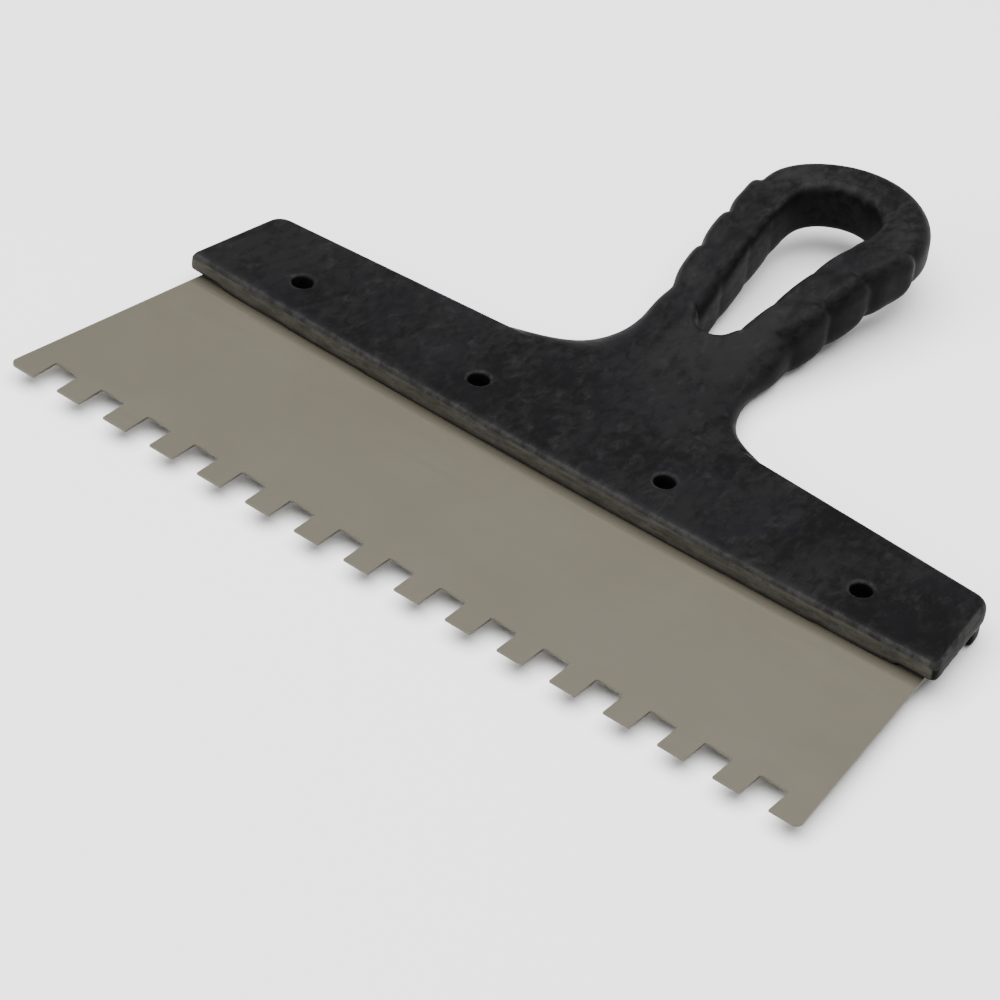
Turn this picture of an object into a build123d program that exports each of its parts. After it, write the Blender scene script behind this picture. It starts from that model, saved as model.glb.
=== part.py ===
"""Notched trowel: a stainless blade with square notches, riveted into a black plastic loop handle.

Millimetres. +X runs along the blade, +Y from the teeth towards the grip, +Z up from the face the
tool rests on. The origin is on that face, midway between the two middle rivets.
"""
import os
from math import asin, copysign, cos, degrees, hypot, pi, radians, sin

from build123d import *

# Blade
BLADE_WIDTH = 249.6          # between the slanted sides, at the line of the tooth tips
BLADE_THICKNESS = 0.7
BLADE_TOP = 5.0              # height of its upper face above the rest face
TIP_Y = -74.5                # line of the tooth tips
BLADE_BACK_Y = 13.0          # hidden rear edge, at the end of the slot
SIDE_LEAN = 0.130            # how far each side leans in, per millimetre towards the grip
NOTCH_COUNT = 15
NOTCH_PITCH = 16.0
NOTCH_WIDTH = 8.2
NOTCH_DEPTH = 8.5
NOTCH_ROOT_RADIUS = 0.7
BLADE_CORNER_RADIUS = 2.0

# Head of the handle
HEAD_TOP = 11.5
HEAD_FRONT_Y = -11.4         # at its two ends
HEAD_BOW = 2.4               # how far the front edge bows towards the teeth in the middle
HEAD_BOW_CHORDS = 12         # the bow is drawn as this many nearly straight chords
HEAD_FRONT_HALF = 120.1
HEAD_BACK_HALF = 115.4
HEAD_BACK_Y = 20.2           # at the two rear corners
HEAD_REAR_Y = 27.6           # at the middle of the rear edge, inside the neck
HEAD_CORNER_RADIUS = 5.0
HEAD_FRONT_CORNER_RADIUS = 1.6
HEAD_EDGE_RADIUS = 2.2
LOWER_EDGE_RADIUS = 2.0
LOWER_INSET = 0.5            # the lower lip is this much smaller all round
END_NOTCH_Y = 12.5           # the slot is open at the ends from the front back to here
END_NOTCH_HALF = 113.4
LIP_HEIGHT = 6.2             # underside of the upper lip at its open ends
SLOT_GAP = 0.3               # clearance over the blade
BLADE_SIDE_GAP = 0.3         # clearance at the blade's sides and rear edge
POCKET_LENGTH = 5.0          # the slot is taller next to its open ends
POCKET_HEIGHT = 1.1
POCKET_DEPTH = 8.0

# Loop grip
LOOP_TOP = 23.8
LOOP_BOTTOM = 9.0
TOP_RISE = (36.0, 108.0)     # where the upper face starts and stops rising
BOTTOM_RISE = (56.0, 120.0)
HOLE_TIP_Y = 63.8            # centre and radius of the hole's small end
HOLE_TIP_RADIUS = 5.4
HOLE_END_Y = 115.4           # centre and radius of its large end
HOLE_END_RADIUS = 12.9
LOOP_HALF_AT_RING = 20.7     # outer half width at the first ring
LOOP_WIDENING = 0.145        # and how it grows per millimetre
LOOP_END_CENTRE_Y = 114.6
LOOP_END_X = 27.2            # the rounded end is half an ellipse
LOOP_END_Y = 29.2
OUTER_RADIUS = 5.2
INNER_TOP_RADIUS = (6.6, 2.8)   # at the hole's small end and from its large end on
INNER_TOP_SPAN = (62.0, 108.0)  # it changes from one to the other along here
NECK_RIM_RADIUS = 2.5
INNER_BOTTOM_RADIUS = 2.2
HOLE_DRAFT = 0.2             # the hole is this much wider at the top and narrower at the bottom
INNER_SWELL = 0.25           # share of the barrels' swell on the wall of the hole
INNER_TOP_SWELL = 0.12       # and on the faces next to the hole
RING_OUTER_Y = (70.7, 84.9, 99.9)   # where each ring groove meets the outer side
RING_INNER_Y = (61.8, 75.5, 90.6)   # and the wall of the hole
LAST_RING_OUTER_ANGLE = 7.4         # degrees round the end ellipse
LAST_RING_INNER_Y = 103.4
# Share of the way from groove to groove, and how far the skin stands off the mean surface there
BARREL_PROFILE = ((0, -1.4), (0.1, -0.6), (0.32, 0.1), (0.6, 0.2), (0.8, 0.0), (0.93, -0.6), (1, -1.4))
LOOP_END_PROFILE = ((0, -1.4), (0.05, -0.9), (0.16, -0.3), (0.45, -0.2), (0.72, -0.3), (1, -0.3))
# Place along Y, half width, squareness above (2 is an ellipse) and how far it sinks in the head
NECK_STATIONS = (
    (13, 60.0, 6.0, 1.5), (20, 57.0, 4.5, 0), (26, 44.8, 3.4, 0), (32, 32.2, 2.6, 0),
    (38, 25.8, 2.2, 0), (44, 22.4, 2.1, 0), (50, 20.6, 2.1, 0), (57, 20.1, 2.3, 0),
    (65, 20.4, 2.8, 0), (74, 21.4, 3.5, 0),
)
NECK_TOP_LIFT = 0.12         # the neck lies this much over the head's top face
NECK_BOTTOM_LIFT = 0.25      # and this much clear of the rest face
NECK_BELOW_SQUARER = 1.4     # added to the squareness of the lower half
NECK_WIDEST = 0.38           # share of its height at which the neck is widest
NECK_SECTION_POINTS = 28

# Rivets
RIVET_PITCH = 60.0
RECESS_RADIUS = 2.9
RECESS_RIM = 0.5
TOP_RECESS_FLOOR = 6.0
BOTTOM_RECESS_FLOOR = 2.9
RIVET_SHANK_RADIUS = 2.0
RIVET_CLEARANCE = 0.1
RIVET_HEAD_RADIUS = 2.7
RIVET_HEAD_HEIGHT = 0.8
RIVET_BORE_RADIUS = 1.2
RIVET_BORE_DEPTH = 2.4

STANDING = (Align.CENTER, Align.CENTER, Align.MIN)


def blend(y, span, low, high):
    """An S-shaped rise from low to high over a span of y."""
    share = min(max((y - span[0]) / (span[1] - span[0]), 0.0), 1.0)
    return low + (high - low) * (1 - cos(pi * share)) / 2


def top_at(y):
    return blend(y, TOP_RISE, HEAD_TOP, LOOP_TOP)


def bottom_at(y):
    return blend(y, BOTTOM_RISE, 0.0, LOOP_BOTTOM)


# ---------------------------------------------------------------- blade

def blade_outline(clearance=0.0):
    """The blade's trapezoid, before its notches are cut."""
    front_half = BLADE_WIDTH / 2 + clearance
    back_y = BLADE_BACK_Y + clearance
    back_half = front_half - SIDE_LEAN * (back_y - TIP_Y)
    corners = [(-front_half, TIP_Y), (front_half, TIP_Y), (back_half, back_y), (-back_half, back_y)]
    return make_face(Polyline(*corners, close=True))


def notch():
    """One square notch with slightly rounded roots, standing on the tooth tips' line."""
    past_edge = 2.0
    rectangle = Rectangle(NOTCH_WIDTH, NOTCH_DEPTH + past_edge)
    outline = Pos(0, (NOTCH_DEPTH - past_edge) / 2) * rectangle
    return fillet(outline.vertices().sort_by(Axis.Y)[-2:], NOTCH_ROOT_RADIUS)


def make_blade():
    outline = blade_outline()
    outline = fillet(outline.vertices().sort_by(Axis.Y)[:2], BLADE_CORNER_RADIUS)
    for index in range(NOTCH_COUNT):
        x = (index - (NOTCH_COUNT - 1) / 2) * NOTCH_PITCH
        outline -= Pos(x, TIP_Y) * notch()
    for x in rivet_places():
        outline -= Pos(x, 0) * Circle(RIVET_SHANK_RADIUS + RIVET_CLEARANCE)
    return Pos(0, 0, BLADE_TOP - BLADE_THICKNESS) * extrude(outline, BLADE_THICKNESS)


# ---------------------------------------------------------------- handle: head

def head_outline(inset):
    """Plan of the head, drawn in all round by the inset."""
    half = HEAD_FRONT_HALF - inset
    front = []
    for index in range(HEAD_BOW_CHORDS + 1):
        share = 2 * index / HEAD_BOW_CHORDS - 1
        front.append((half * share, HEAD_FRONT_Y + inset - HEAD_BOW * (1 - share ** 2)))
    back = (HEAD_BACK_HALF - inset, HEAD_BACK_Y - inset)
    rear = (0, HEAD_REAR_Y - inset)
    outline = make_face(Polyline(*front, back, rear, (-back[0], back[1]), close=True))
    by_width = outline.vertices().sort_by(lambda corner: abs(corner.X))
    outline = fillet(by_width[-2:], HEAD_FRONT_CORNER_RADIUS)
    at_back = [corner for corner in outline.vertices() if abs(corner.Y - back[1]) < 0.01]
    return fillet(at_back, HEAD_CORNER_RADIUS)


def rim(solid, height):
    """The edges of the flat face at this height."""
    return [face for face in solid.faces() if abs(face.center().Z - height) < 0.01][0].edges()


def make_head():
    upper = Pos(0, 0, LIP_HEIGHT) * extrude(head_outline(0.0), HEAD_TOP - LIP_HEIGHT)
    upper = fillet(rim(upper, HEAD_TOP), HEAD_EDGE_RADIUS)
    lower = extrude(head_outline(LOWER_INSET), LIP_HEIGHT)
    lower = fillet(rim(lower, 0.0), LOWER_EDGE_RADIUS)
    return upper + lower


def cut_slot(handle):
    """The slot for the blade, its flared mouth and its open front ends."""
    slot = extrude(blade_outline(BLADE_SIDE_GAP), BLADE_THICKNESS + SLOT_GAP)
    handle -= Pos(0, 0, BLADE_TOP - BLADE_THICKNESS) * slot
    past_end = 10.0
    front_y = HEAD_FRONT_Y - past_end
    for side in (-1, 1):
        end = Box(past_end, END_NOTCH_Y - front_y, LIP_HEIGHT, align=(Align.MIN, Align.MIN, Align.MIN))
        end_x = END_NOTCH_HALF if side > 0 else -END_NOTCH_HALF - past_end
        handle -= Pos(end_x, front_y, 0) * end
        pocket_x = side * (END_NOTCH_HALF - POCKET_LENGTH / 2)
        pocket = Box(POCKET_LENGTH, 2 * past_end, POCKET_HEIGHT, align=(Align.CENTER, Align.MAX, Align.MIN))
        handle -= Pos(pocket_x, HEAD_FRONT_Y + POCKET_DEPTH, BLADE_TOP) * pocket
    return handle


def cut_recesses(handle):
    """The round recesses that the rivets sit in, above and below, and their holes."""
    for x in rivet_places():
        for floor, top in ((TOP_RECESS_FLOOR, HEAD_TOP), (0.0, BOTTOM_RECESS_FLOOR)):
            handle -= Pos(x, 0, floor) * Cylinder(RECESS_RADIUS, top - floor, align=STANDING)
        handle -= Pos(x, 0, 0) * Cylinder(RIVET_SHANK_RADIUS + RIVET_CLEARANCE, HEAD_TOP, align=STANDING)
    rims = [
        edge for edge in handle.edges().filter_by(GeomType.CIRCLE)
        if abs(edge.radius - RECESS_RADIUS) < 0.01 and edge.center().Z in (0.0, HEAD_TOP)
    ]
    return fillet(rims, RECESS_RIM)


# ---------------------------------------------------------------- handle: neck and loop

def hole_lean():
    """Sine of the angle at which the hole's straight sides lean out."""
    return (HOLE_END_RADIUS - HOLE_TIP_RADIUS) / (HOLE_END_Y - HOLE_TIP_Y)


def hole_half_at(y):
    """Half width of the tear-shaped hole, up to where its round end begins."""
    lean = hole_lean()
    straight_start = HOLE_TIP_Y - HOLE_TIP_RADIUS * lean
    if y < straight_start:
        return (HOLE_TIP_RADIUS ** 2 - (y - HOLE_TIP_Y) ** 2) ** 0.5
    rise = (1 - lean ** 2) ** 0.5
    return HOLE_TIP_RADIUS * rise + (y - straight_start) * lean / rise


def hole_end_point(share):
    """A point on the hole's wall, from the last ring (0) round to the far end (1)."""
    lean = hole_lean()
    start_y = LAST_RING_INNER_Y
    arc_start_y = HOLE_END_Y - HOLE_END_RADIUS * lean
    straight = arc_start_y - start_y
    first_angle = -asin(lean)
    arc_length = HOLE_END_RADIUS * (pi / 2 - first_angle)
    travelled = share * (straight + arc_length)
    if travelled < straight:
        return (hole_half_at(start_y + travelled), start_y + travelled)
    angle = first_angle + (travelled - straight) / HOLE_END_RADIUS
    return (HOLE_END_RADIUS * cos(angle), HOLE_END_Y + HOLE_END_RADIUS * sin(angle))


def outer_end_point(share):
    """A point on the loop's outside, from the last ring (0) round to the far end (1)."""
    first_angle = radians(LAST_RING_OUTER_ANGLE)
    angle = first_angle + share * (pi / 2 - first_angle)
    return (LOOP_END_X * cos(angle), LOOP_END_CENTRE_Y + LOOP_END_Y * sin(angle))


def outer_half_at(y):
    """Outer half width of the loop: straight sides, then half an ellipse."""
    if y < LOOP_END_CENTRE_Y:
        return LOOP_HALF_AT_RING + LOOP_WIDENING * (y - RING_OUTER_Y[0])
    return LOOP_END_X * (1 - ((y - LOOP_END_CENTRE_Y) / LOOP_END_Y) ** 2) ** 0.5


def rounded_section(plane, corners, inner_top_radius):
    """A section of the loop with rounded corners: lower and upper inner, upper and lower outer."""
    outline = make_face(Polyline(*corners, close=True))
    outline = fillet(outline.vertices().sort_by(Axis.X)[-2:], OUTER_RADIUS)
    lower, upper = outline.vertices().sort_by(Axis.X)[:2]
    outline = fillet(lower, INNER_BOTTOM_RADIUS)
    upper = outline.vertices().sort_by(lambda corner: hypot(corner.X - upper.X, corner.Y - upper.Y))[0]
    return plane * fillet(upper, inner_top_radius)


def arm_section(inner, outer, swell):
    """Upright section of the loop between two plan points, swelled outwards all round."""
    width = hypot(outer[0] - inner[0], outer[1] - inner[1])
    across = ((outer[0] - inner[0]) / width, (outer[1] - inner[1]) / width, 0)
    plane = Plane(origin=(inner[0], inner[1], 0), x_dir=across, z_dir=(across[1], -across[0], 0))
    inner_swell = INNER_SWELL * swell
    rise = INNER_TOP_SWELL * swell
    corners = [
        (-inner_swell - HOLE_DRAFT, bottom_at(inner[1]) - rise),
        (-inner_swell + HOLE_DRAFT, top_at(inner[1]) + rise),
        (width + swell, top_at(outer[1]) + swell),
        (width + swell, bottom_at(outer[1]) - swell),
    ]
    return rounded_section(plane, corners, blend(inner[1], INNER_TOP_SPAN, *INNER_TOP_RADIUS))


def ring_ends():
    """Plan points where each ring groove of the right arm meets the hole and the outside."""
    inner = [(hole_half_at(y), y) for y in RING_INNER_Y]
    outer = [(outer_half_at(y), y) for y in RING_OUTER_Y]
    return inner + [hole_end_point(0)], outer + [outer_end_point(0)]


def make_barrel(inner_start, inner_stop, outer_start, outer_stop):
    """One barrel of the grip, from one ring groove to the next."""
    sections = []
    for share, swell in BARREL_PROFILE:
        inner_y = inner_start[1] + share * (inner_stop[1] - inner_start[1])
        outer_y = outer_start[1] + share * (outer_stop[1] - outer_start[1])
        inner = (hole_half_at(inner_y), inner_y)
        outer = (outer_half_at(outer_y), outer_y)
        sections.append(arm_section(inner, outer, swell))
    return loft(sections)


def make_loop_end():
    """The plain round end of the loop, between the last grooves of the two arms."""
    right = []
    for share, swell in LOOP_END_PROFILE:
        right.append((hole_end_point(share), outer_end_point(share), swell))
    left = [((-i[0], i[1]), (-o[0], o[1]), swell) for i, o, swell in reversed(right[:-1])]
    return loft([arm_section(inner, outer, swell) for inner, outer, swell in right + left])


def neck_section(y, half, squareness, sink):
    """A superellipse across the neck, between its lower and upper faces, squarer below."""
    bottom = max(bottom_at(y), NECK_BOTTOM_LIFT) + sink
    top = top_at(y) + NECK_TOP_LIFT - sink
    widest = bottom + NECK_WIDEST * (top - bottom)
    points = []
    for index in range(NECK_SECTION_POINTS):
        angle = 2 * pi * (index + 0.5) / NECK_SECTION_POINTS
        above = sin(angle) > 0
        power = 2 / (squareness if above else squareness + NECK_BELOW_SQUARER)
        across = copysign(abs(cos(angle)) ** power, cos(angle))
        reach = (top if above else bottom) - widest
        points.append((half * across, y, widest + reach * abs(sin(angle)) ** power))
    return make_face(Spline(*points, periodic=True))


def make_neck():
    """The solid neck, from inside the flat head to the first ring grooves."""
    neck = loft([neck_section(*station) for station in NECK_STATIONS])
    hole = Pos(0, HOLE_TIP_Y) * Circle(HOLE_TIP_RADIUS - HOLE_DRAFT)
    hole += make_hull((hole + Pos(0, HOLE_END_Y) * Circle(HOLE_END_RADIUS - HOLE_DRAFT)).edges())
    height = top_at(HOLE_TIP_Y)
    neck -= extrude(hole, LOOP_TOP, taper=-degrees(2 * HOLE_DRAFT / height))
    rim_edges = [
        edge for edge in neck.edges()
        if edge.bounding_box().min.Z > LOOP_BOTTOM and edge.bounding_box().min.Y > HOLE_TIP_Y - LOOP_END_X
        and abs((edge @ 0.5).X) < HOLE_END_RADIUS and (edge @ 0.5).Y < NECK_STATIONS[-1][0] - 1
    ]
    neck = fillet(rim_edges, NECK_RIM_RADIUS)
    inner, outer = ring_ends()
    slope = (outer[0][1] - inner[0][1]) / (outer[0][0] - inner[0][0])
    far_x = LOOP_END_X
    far_y = inner[0][1] + slope * (far_x - inner[0][0])
    beyond = make_face(Polyline(
        (-inner[0][0], inner[0][1]), inner[0], (far_x, far_y), (far_x, HOLE_END_Y),
        (-far_x, HOLE_END_Y), (-far_x, far_y), close=True))
    return neck - extrude(beyond, LOOP_TOP)


def make_handle():
    handle = cut_recesses(cut_slot(make_head()))
    handle += make_neck()
    inner, outer = ring_ends()
    for index in range(len(inner) - 1):
        barrel = make_barrel(inner[index], inner[index + 1], outer[index], outer[index + 1])
        handle += [barrel, mirror(barrel, about=Plane.YZ)]
    return handle + make_loop_end()


# ---------------------------------------------------------------- rivets

def rivet_places():
    return [(index - 1.5) * RIVET_PITCH for index in range(4)]


def make_rivet():
    """A semi-tubular rivet: domed head above, rolled rim and bore below."""
    shank = Pos(0, 0, BOTTOM_RECESS_FLOOR) * Cylinder(
        RIVET_SHANK_RADIUS, TOP_RECESS_FLOOR - BOTTOM_RECESS_FLOOR, align=STANDING)
    head = Pos(0, 0, TOP_RECESS_FLOOR) * Cylinder(RIVET_HEAD_RADIUS, RIVET_HEAD_HEIGHT, align=STANDING)
    head = fillet(head.edges().group_by(Axis.Z)[-1], RIVET_HEAD_HEIGHT * 0.7)
    rolled = Pos(0, 0, BOTTOM_RECESS_FLOOR - RIVET_HEAD_HEIGHT) * Cylinder(
        RIVET_HEAD_RADIUS, RIVET_HEAD_HEIGHT, align=STANDING)
    rolled = fillet(rolled.edges().group_by(Axis.Z)[0], RIVET_HEAD_HEIGHT * 0.6)
    bore = Pos(0, 0, BOTTOM_RECESS_FLOOR - RIVET_HEAD_HEIGHT) * Cylinder(
        RIVET_BORE_RADIUS, RIVET_BORE_DEPTH, align=STANDING)
    return shank + head + rolled - bore


# ---------------------------------------------------------------- output

os.makedirs("parts", exist_ok=True)
export_step(make_blade(), "parts/blade.step")
export_step(make_handle(), "parts/handle.step")
rivet = make_rivet()
for name, x in zip(("far_left", "mid_left", "mid_right", "far_right"), rivet_places()):
    export_step(Pos(x, 0, 0) * rivet, f"parts/rivet_{name}.step")
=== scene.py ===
"""Looks of the notched trowel: a greige rolled steel blade in a black recycled-plastic handle.

Metres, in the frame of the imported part: +X along the blade, +Y towards the grip, +Z up.
"""

import math

import bmesh
import bpy
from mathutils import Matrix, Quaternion, Vector


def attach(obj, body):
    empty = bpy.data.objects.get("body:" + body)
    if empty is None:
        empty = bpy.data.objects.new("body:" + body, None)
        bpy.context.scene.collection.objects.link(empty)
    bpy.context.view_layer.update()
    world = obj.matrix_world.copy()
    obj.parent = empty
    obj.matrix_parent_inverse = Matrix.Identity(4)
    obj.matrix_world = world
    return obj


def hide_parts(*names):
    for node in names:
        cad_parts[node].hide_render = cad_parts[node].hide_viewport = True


# Camera
CAMERA_PLACE = (0.4323, -0.6587, 0.5996)
CAMERA_FORWARD = (-0.44593, 0.65083, -0.61447)
CAMERA_ROLL = 6.73                # degrees
CAMERA_LENS = 139.4               # millimetres
SENSOR_WIDTH = 36.0

# Handle shape
VOXEL = 0.00066
SMOOTH_STEPS = 4
GRIP_SMOOTH_STEPS = 3             # more on the grip, where hands have polished it
GRIP_START = (0.052, 0.062)       # the extra softening fades in along Y here
SLOT_HALF = (0.1251, 0.11369)     # half widths of the blade's slot, at its front and back
SLOT_REACH = (-0.0745, 0.0133)    # the slot's front and back along Y
SLOT_HEIGHTS = (0.00426, 0.0051)  # from just under the blade to just over it
SLIVER = 0.00002                  # edges shorter than this are merged after the slot is cut

# Where the plastic is worn and greyed, and where painted highlights and the blade's painted reflection
# lie
PALE_EDGE_POINTINESS = (0.506, 0.530)  # from a flat to a pale edge, worn and with a painted highlight
FRONT_FACE = (-0.0085, -0.0105)   # the head's front face lies beyond these along Y
HEAD_ENDS = (0.112, 0.116)        # and its two ends beyond these along X
NECK_GREYING = (0.0, 0.045)       # the neck and grip are greyer from here on along Y
LOOP_END_GREYING = (0.100, 0.128)     # and greyer still at the end of the loop

# Plastic colours
BLACK_LOW = (0.0038, 0.0038, 0.0041)
BLACK_HIGH = (0.0088, 0.0087, 0.0087)
VIOLET_BLACK = (0.0068, 0.0060, 0.0080)
# Pale scuffs; the same pale also serves as painted highlight on edges and rims
SCUFF_AND_HIGHLIGHT = (0.030, 0.0296, 0.0286)
GREY_LOW = (0.0070, 0.0070, 0.0074)
GREY_HIGH = (0.0225, 0.0225, 0.0226)
# Front face: a painted reflection of the warm blade, then chalky patches
FACE_REFLECTION_LOW = (0.029, 0.0275, 0.0225)
FACE_REFLECTION_HIGH = (0.053, 0.0505, 0.0418)
FACE_CHALK = (0.062, 0.0605, 0.0575)

# Metal and floor colours
STEEL_LOW = (0.081, 0.0725, 0.0535)
STEEL_HIGH = (0.090, 0.0812, 0.0605)
ZINC_LOW = (0.035, 0.034, 0.034)
ZINC_HIGH = (0.11, 0.11, 0.112)
FLOOR_COLOUR = (0.92, 0.92, 0.92)

# Stage
FLOOR_HALF = 4.0
FLOOR_Z = -0.0003                 # just under the part, so that no faces coincide
WORLD_COLOUR = (1.0, 0.995, 0.985, 1)
WORLD_STRENGTH = 0.22
SOFTBOXES = (                     # name, place, target, size, watts
    ("overhead", (-0.1, -0.1, 1.6), (-0.1, -0.1, 0), (2.4, 2.4), 117),
    ("front_left", (-0.9, -1.6, 0.75), (0, 0, 0), (1.4, 0.9), 28),
    ("front_right", (1.5, -0.5, 0.8), (0, 0, 0), (1.2, 0.9), 5),
)

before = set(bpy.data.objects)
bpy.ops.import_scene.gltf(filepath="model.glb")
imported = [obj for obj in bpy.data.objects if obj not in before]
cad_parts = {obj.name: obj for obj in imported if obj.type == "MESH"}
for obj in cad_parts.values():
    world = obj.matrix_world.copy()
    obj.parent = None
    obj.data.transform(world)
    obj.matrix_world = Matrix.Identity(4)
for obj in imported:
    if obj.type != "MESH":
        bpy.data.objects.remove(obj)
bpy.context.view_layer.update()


# ---------------------------------------------------------------- node helpers

class Nodes:
    """Short calls for building one node material."""

    def __init__(self, name):
        self.material = bpy.data.materials.new(name)
        self.material.use_nodes = True
        self.tree = self.material.node_tree
        self.shader = self.tree.nodes["Principled BSDF"]

    def add(self, kind, inputs=(), **settings):
        node = self.tree.nodes.new(kind)
        for key, value in settings.items():
            setattr(node, key, value)
        for key, value in dict(inputs).items():
            if isinstance(value, bpy.types.NodeSocket):
                self.tree.links.new(value, node.inputs[key])
            else:
                node.inputs[key].default_value = value
        return node

    def place(self, scale=(1, 1, 1), turn=(0, 0, 0)):
        """Object coordinates, stretched and turned."""
        coordinates = self.add("ShaderNodeTexCoord").outputs["Object"]
        return self.add(
            "ShaderNodeMapping", {"Vector": coordinates, "Scale": scale, "Rotation": turn}
        ).outputs["Vector"]

    def position(self, axis):
        """Object coordinate along one axis."""
        coordinates = self.add("ShaderNodeTexCoord").outputs["Object"]
        return self.add("ShaderNodeSeparateXYZ", {0: coordinates}).outputs[axis]

    def facing(self, axis):
        """How far the surface faces along one axis, from -1 to 1."""
        normal = self.add("ShaderNodeNewGeometry").outputs["Normal"]
        return self.add("ShaderNodeSeparateXYZ", {0: normal}).outputs[axis]

    def noise(self, vector, scale, detail=3.0, rough=0.55, distortion=0.0):
        return self.add("ShaderNodeTexNoise", {
            "Vector": vector, "Scale": scale, "Detail": detail,
            "Roughness": rough, "Distortion": distortion,
        }).outputs["Fac"]

    def range(self, value, from_low, from_high, to_low=0.0, to_high=1.0):
        return self.add("ShaderNodeMapRange", {
            "Value": value, "From Min": from_low, "From Max": from_high,
            "To Min": to_low, "To Max": to_high,
        }, interpolation_type="SMOOTHSTEP").outputs["Result"]

    def math(self, operation, first, second=0.0):
        return self.add("ShaderNodeMath", {0: first, 1: second}, operation=operation).outputs["Value"]

    def absolute(self, value):
        return self.math("ABSOLUTE", value)

    def times(self, first, second):
        return self.math("MULTIPLY", first, second)

    def blend(self, first, second, share):
        """Weighted sum of two values: the first one's share, and the rest of the second."""
        return self.math("ADD", self.times(first, share), self.times(second, 1 - share))

    def mix(self, factor, first, second):
        """Mix of two colours."""
        node = self.add("ShaderNodeMix", {0: factor}, data_type="RGBA")
        for index, value in ((6, first), (7, second)):
            if isinstance(value, bpy.types.NodeSocket):
                self.tree.links.new(value, node.inputs[index])
            else:
                node.inputs[index].default_value = (*value, 1)
        return node.outputs[2]

    def bump(self, height, distance, strength=1.0, normal=None):
        inputs = {"Height": height, "Distance": distance, "Strength": strength}
        if normal is not None:
            inputs["Normal"] = normal
        return self.add("ShaderNodeBump", inputs).outputs["Normal"]

    def finish(self, **values):
        """Sets or links the shader's sockets, named with underscores for spaces."""
        for key, value in values.items():
            socket = self.shader.inputs[key.replace("_", " ")]
            if isinstance(value, bpy.types.NodeSocket):
                self.tree.links.new(value, socket)
            elif isinstance(value, tuple):
                socket.default_value = (*value, 1)
            else:
                socket.default_value = value
        return self.material


# ---------------------------------------------------------------- materials

def worn_and_highlit_edges(n):
    """How much an edge stands out: 0 on flats and in hollows, 1 on convex edges, paled by wear and by
    a painted highlight.
    """
    pointiness = n.add("ShaderNodeNewGeometry").outputs["Pointiness"]
    return n.range(pointiness, *PALE_EDGE_POINTINESS)


def rubbed_and_highlit_rims(n):
    """1 on the rounded edges at the two ends of the head and less along its front, paled by rubbing
    and by a painted highlight on the rounded edges.
    """
    ends = n.range(n.absolute(n.position("X")), *HEAD_ENDS)
    front = n.range(n.position("Y"), *FRONT_FACE, 0.0, 0.68)
    up = n.absolute(n.facing("Z"))
    slope = n.times(n.range(up, 0.10, 0.45), n.range(up, 0.96, 0.80))
    return n.times(n.math("MAXIMUM", ends, front), slope)


def reflecting_front_face(n):
    """1 on the head's upright front face, 0 elsewhere: where the blade's painted reflection goes."""
    upright = n.range(n.facing("Y"), -0.88, -0.995)
    return n.times(upright, n.range(n.position("Y"), *FRONT_FACE))


def painted_wall_shade(n):
    """1 on faces that lie flat and less on upright walls: painted shade that darkens the walls."""
    return n.range(n.absolute(n.facing("Z")), 0.10, 0.75, 0.50, 1.0)


def grip_greying(n):
    """Extra grey along the neck and grip, and more at the end of the loop."""
    along = n.position("Y")
    neck_and_grip = n.range(along, *NECK_GREYING, 0.0, 0.12)
    return n.math("ADD", neck_and_grip, n.range(along, *LOOP_END_GREYING, 0.0, 0.32))


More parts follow.
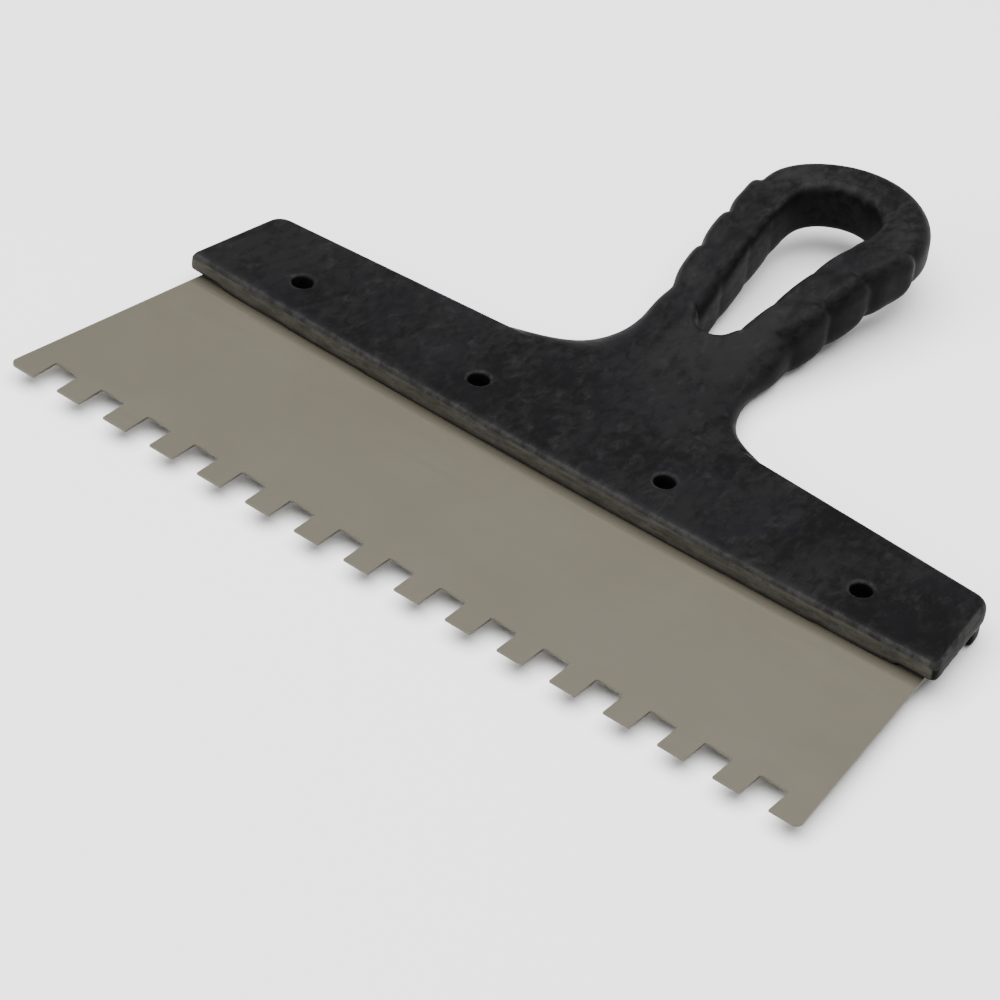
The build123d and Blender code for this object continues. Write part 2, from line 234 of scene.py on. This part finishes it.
def plastic():
    """Black recycled polypropylene: mottled flow marks, pale scuffs, worn edges and fine pores, with
    painted highlights on edges and rims, painted shade on upright walls and the blade's painted
    reflection on the front face.
    """
    n = Nodes("black_plastic")
    flat = n.place()
    flow = n.place(scale=(1.0, 0.55, 1.0), turn=(0, 0, 0.35))
    clouds = n.noise(flow, scale=45, detail=4, rough=0.6, distortion=0.5)
    wisps = n.noise(flow, scale=420, detail=5, rough=0.7, distortion=0.5)
    scuffs = n.noise(flow, scale=300, detail=5, rough=0.72, distortion=0.35)
    grain = n.noise(flat, scale=1500, detail=2, rough=0.6)
    orange_peel = n.noise(flat, scale=420, detail=2, rough=0.5)
    hue = n.noise(flat, scale=60, detail=2)

    # Mottled black with violet patches and pale scuffs
    mottling = n.range(n.blend(clouds, wisps, 0.5), 0.40, 0.60)
    base = n.mix(mottling, BLACK_LOW, BLACK_HIGH)
    base = n.mix(n.range(hue, 0.42, 0.62), base, n.mix(0.4, base, VIOLET_BLACK))
    base = n.mix(n.times(n.range(scuffs, 0.52, 0.76), 0.28), base, SCUFF_AND_HIGHLIGHT)

    # Wear and painted light: thin pale edges, worn and with painted highlights; a greyed grip; painted
    # shade on upright walls; rims round the head rubbed pale and with painted highlights
    wear_and_highlight = n.times(worn_and_highlit_edges(n), n.range(scuffs, 0.40, 0.62, 0.15, 1.0))
    base = n.mix(n.times(wear_and_highlight, 0.40), base, SCUFF_AND_HIGHLIGHT)
    base = n.mix(grip_greying(n), base, n.mix(mottling, GREY_LOW, GREY_HIGH))
    # Painted shade: upright walls darkened to half
    base = n.mix(painted_wall_shade(n), (0, 0, 0), base)
    # Rims round the head: rubbed pale, with a painted highlight on their rounded edges
    rubbed_and_highlit = n.times(rubbed_and_highlit_rims(n), n.range(scuffs, 0.36, 0.62, 0.35, 1.0))
    base = n.mix(n.times(rubbed_and_highlit, 0.9), base, SCUFF_AND_HIGHLIGHT)

    # Front face of the head: a painted reflection of the warm blade, streaked, with chalky patches
    # from mortar
    streaks = n.noise(n.place(scale=(0.35, 1.0, 1.8)), scale=380, detail=6, rough=0.78)
    face = n.mix(n.range(streaks, 0.34, 0.68), FACE_REFLECTION_LOW, FACE_REFLECTION_HIGH)
    face = n.mix(n.times(n.range(scuffs, 0.50, 0.70), 0.5), face, FACE_CHALK)
    base = n.mix(reflecting_front_face(n), base, face)

    roughness = n.range(wisps, 0.3, 0.7, 0.44, 0.58)
    normal = n.bump(orange_peel, distance=0.00010, strength=0.5)
    normal = n.bump(wisps, distance=0.00012, strength=0.35, normal=normal)
    normal = n.bump(grain, distance=0.00002, strength=0.5, normal=normal)
    return n.finish(Base_Color=base, Roughness=roughness, Normal=normal, Specular_IOR_Level=0.03)


def steel():
    """Matt rolled stainless sheet, warm grey, with faint rolling streaks and cloudy handling marks."""
    n = Nodes("blade_steel")
    flat = n.place()
    rolled = n.place(scale=(1.0, 60.0, 1.0))
    streaks = n.noise(rolled, scale=26, detail=4, rough=0.6)
    clouds = n.noise(flat, scale=28, detail=4, rough=0.55, distortion=0.5)
    fine = n.noise(flat, scale=1800, detail=2, rough=0.6)
    colour = n.mix(n.range(n.blend(clouds, streaks, 0.6), 0.3, 0.7), STEEL_LOW, STEEL_HIGH)
    roughness = n.range(streaks, 0.3, 0.7, 0.46, 0.53)
    normal = n.bump(fine, distance=0.000008, strength=0.4)
    normal = n.bump(streaks, distance=0.000006, strength=0.5, normal=normal)
    return n.finish(Base_Color=colour, Metallic=0.5, Roughness=roughness, Normal=normal)


def dull_zinc():
    """Dull plated rivet steel with tarnish."""
    n = Nodes("rivet_zinc")
    flat = n.place()
    tarnish = n.noise(flat, scale=900, detail=4, rough=0.6)
    colour = n.mix(n.range(tarnish, 0.35, 0.65), ZINC_LOW, ZINC_HIGH)
    roughness = n.range(tarnish, 0.3, 0.7, 0.42, 0.6)
    normal = n.bump(n.noise(flat, scale=2500, detail=2), distance=0.00002, strength=0.5)
    return n.finish(Base_Color=colour, Metallic=0.9, Roughness=roughness, Normal=normal)


def paper():
    """Plain pale floor."""
    n = Nodes("pale_floor")
    return n.finish(Base_Color=FLOOR_COLOUR, Roughness=0.9, Specular_IOR_Level=0.1)


def dress(obj, material):
    obj.data.materials.clear()
    obj.data.materials.append(material)


# ---------------------------------------------------------------- pieces

def evaluated_mesh(obj):
    graph = bpy.context.evaluated_depsgraph_get()
    return bpy.data.meshes.new_from_object(obj.evaluated_get(graph))


def soften(piece, steps, group=""):
    """Gives the piece a smoothed copy of its own mesh."""
    smooth = piece.modifiers.new("soft", "SMOOTH")
    smooth.factor = 0.5
    smooth.iterations = steps
    smooth.vertex_group = group
    mesh = evaluated_mesh(piece)
    piece.modifiers.clear()
    piece.data = mesh


def make_prism(name, outline, low, high):
    """A closed prism over a convex outline in X and Y."""
    count = len(outline)
    corners = [(x, y, z) for z in (low, high) for x, y in outline]
    sides = [(i, (i + 1) % count, (i + 1) % count + count, i + count) for i in range(count)]
    ends = [tuple(reversed(range(count))), tuple(range(count, 2 * count))]
    mesh = bpy.data.meshes.new(name)
    mesh.from_pydata(corners, [], sides + ends)
    return bpy.data.objects.new(name, mesh)


def clean(mesh):
    """Merges slivers, splits long faces and removes pairs of triangles that lie on each other."""
    form = bmesh.new()
    form.from_mesh(mesh)
    bmesh.ops.remove_doubles(form, verts=form.verts, dist=SLIVER)
    bmesh.ops.dissolve_degenerate(form, edges=form.edges, dist=SLIVER)
    bmesh.ops.triangulate(form, faces=[face for face in form.faces if len(face.verts) > 4])
    form.verts.index_update()
    same = {}
    for face in form.faces:
        same.setdefault(frozenset(corner.index for corner in face.verts), []).append(face)
    doubled = [face for faces in same.values() if len(faces) > 1 for face in faces]
    bmesh.ops.delete(form, geom=doubled, context="FACES")
    form.to_mesh(mesh)
    form.free()


def open_slot(piece):
    """Cuts the blade's slot, too thin to outlive the voxels, back into the handle."""
    front, back = SLOT_HALF
    front_y, back_y = SLOT_REACH
    outline = [(-front, front_y), (front, front_y), (back, back_y), (-back, back_y)]
    slot = make_prism("slot", outline, *SLOT_HEIGHTS)
    bpy.context.scene.collection.objects.link(slot)
    cut = piece.modifiers.new("slot", "BOOLEAN")
    cut.operation = "DIFFERENCE"
    cut.solver = "EXACT"
    cut.object = slot
    mesh = evaluated_mesh(piece)
    clean(mesh)
    piece.modifiers.clear()
    piece.data = mesh
    bpy.data.objects.remove(slot)


def make_handle():
    """The moulded handle: the CAD shape with its creases and edges softened as a mould leaves them."""
    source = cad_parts["handle"]
    piece = bpy.data.objects.new("handle_moulding", source.data.copy())
    bpy.context.scene.collection.objects.link(piece)
    piece.matrix_world = source.matrix_world
    remesh = piece.modifiers.new("even", "REMESH")
    remesh.mode = "VOXEL"
    remesh.voxel_size = VOXEL
    remesh.use_smooth_shade = True
    soften(piece, SMOOTH_STEPS)
    grip = piece.vertex_groups.new(name="grip")
    start, full = GRIP_START
    for vertex in piece.data.vertices:
        share = ((piece.matrix_world @ vertex.co).y - start) / (full - start)
        if share > 0:
            grip.add([vertex.index], min(share, 1.0), "REPLACE")
    soften(piece, GRIP_SMOOTH_STEPS, grip.name)
    open_slot(piece)
    return piece


handle = make_handle()
black = plastic()
dress(handle, black)
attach(handle, "root")
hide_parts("handle")

greige = steel()
dress(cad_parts["blade"], greige)
zinc = dull_zinc()
for name in ("far_left", "mid_left", "mid_right", "far_right"):
    dress(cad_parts["rivet_" + name], zinc)


# ---------------------------------------------------------------- stage, lights and camera

def make_floor():
    mesh = bpy.data.meshes.new("floor")
    form = bmesh.new()
    bmesh.ops.create_grid(form, x_segments=1, y_segments=1, size=FLOOR_HALF)
    form.to_mesh(mesh)
    form.free()
    floor = bpy.data.objects.new("floor", mesh)
    bpy.context.scene.collection.objects.link(floor)
    floor.location = (0, 0, FLOOR_Z)
    dress(floor, paper())


def make_softbox(name, place, target, size, power):
    light = bpy.data.lights.new(name, "AREA")
    light.shape = "RECTANGLE"
    light.size, light.size_y = size
    light.energy = power
    box = bpy.data.objects.new(name, light)
    bpy.context.scene.collection.objects.link(box)
    box.location = place
    box.rotation_mode = "QUATERNION"
    box.rotation_quaternion = (Vector(target) - Vector(place)).to_track_quat("-Z", "Y")


def make_world():
    world = bpy.data.worlds.new("studio")
    world.use_nodes = True
    background = world.node_tree.nodes["Background"]
    background.inputs["Color"].default_value = WORLD_COLOUR
    background.inputs["Strength"].default_value = WORLD_STRENGTH
    bpy.context.scene.world = world


def make_camera():
    lens = bpy.data.cameras.new("camera")
    lens.lens = CAMERA_LENS
    lens.sensor_width = SENSOR_WIDTH
    lens.clip_start = 0.01
    camera = bpy.data.objects.new("camera", lens)
    bpy.context.scene.collection.objects.link(camera)
    camera.location = CAMERA_PLACE
    camera.rotation_mode = "QUATERNION"
    level = Vector(CAMERA_FORWARD).to_track_quat("-Z", "Y")
    camera.rotation_quaternion = level @ Quaternion((0, 0, 1), math.radians(CAMERA_ROLL))
    bpy.context.scene.camera = camera


make_floor()
for softbox in SOFTBOXES:
    make_softbox(*softbox)
make_world()
make_camera()
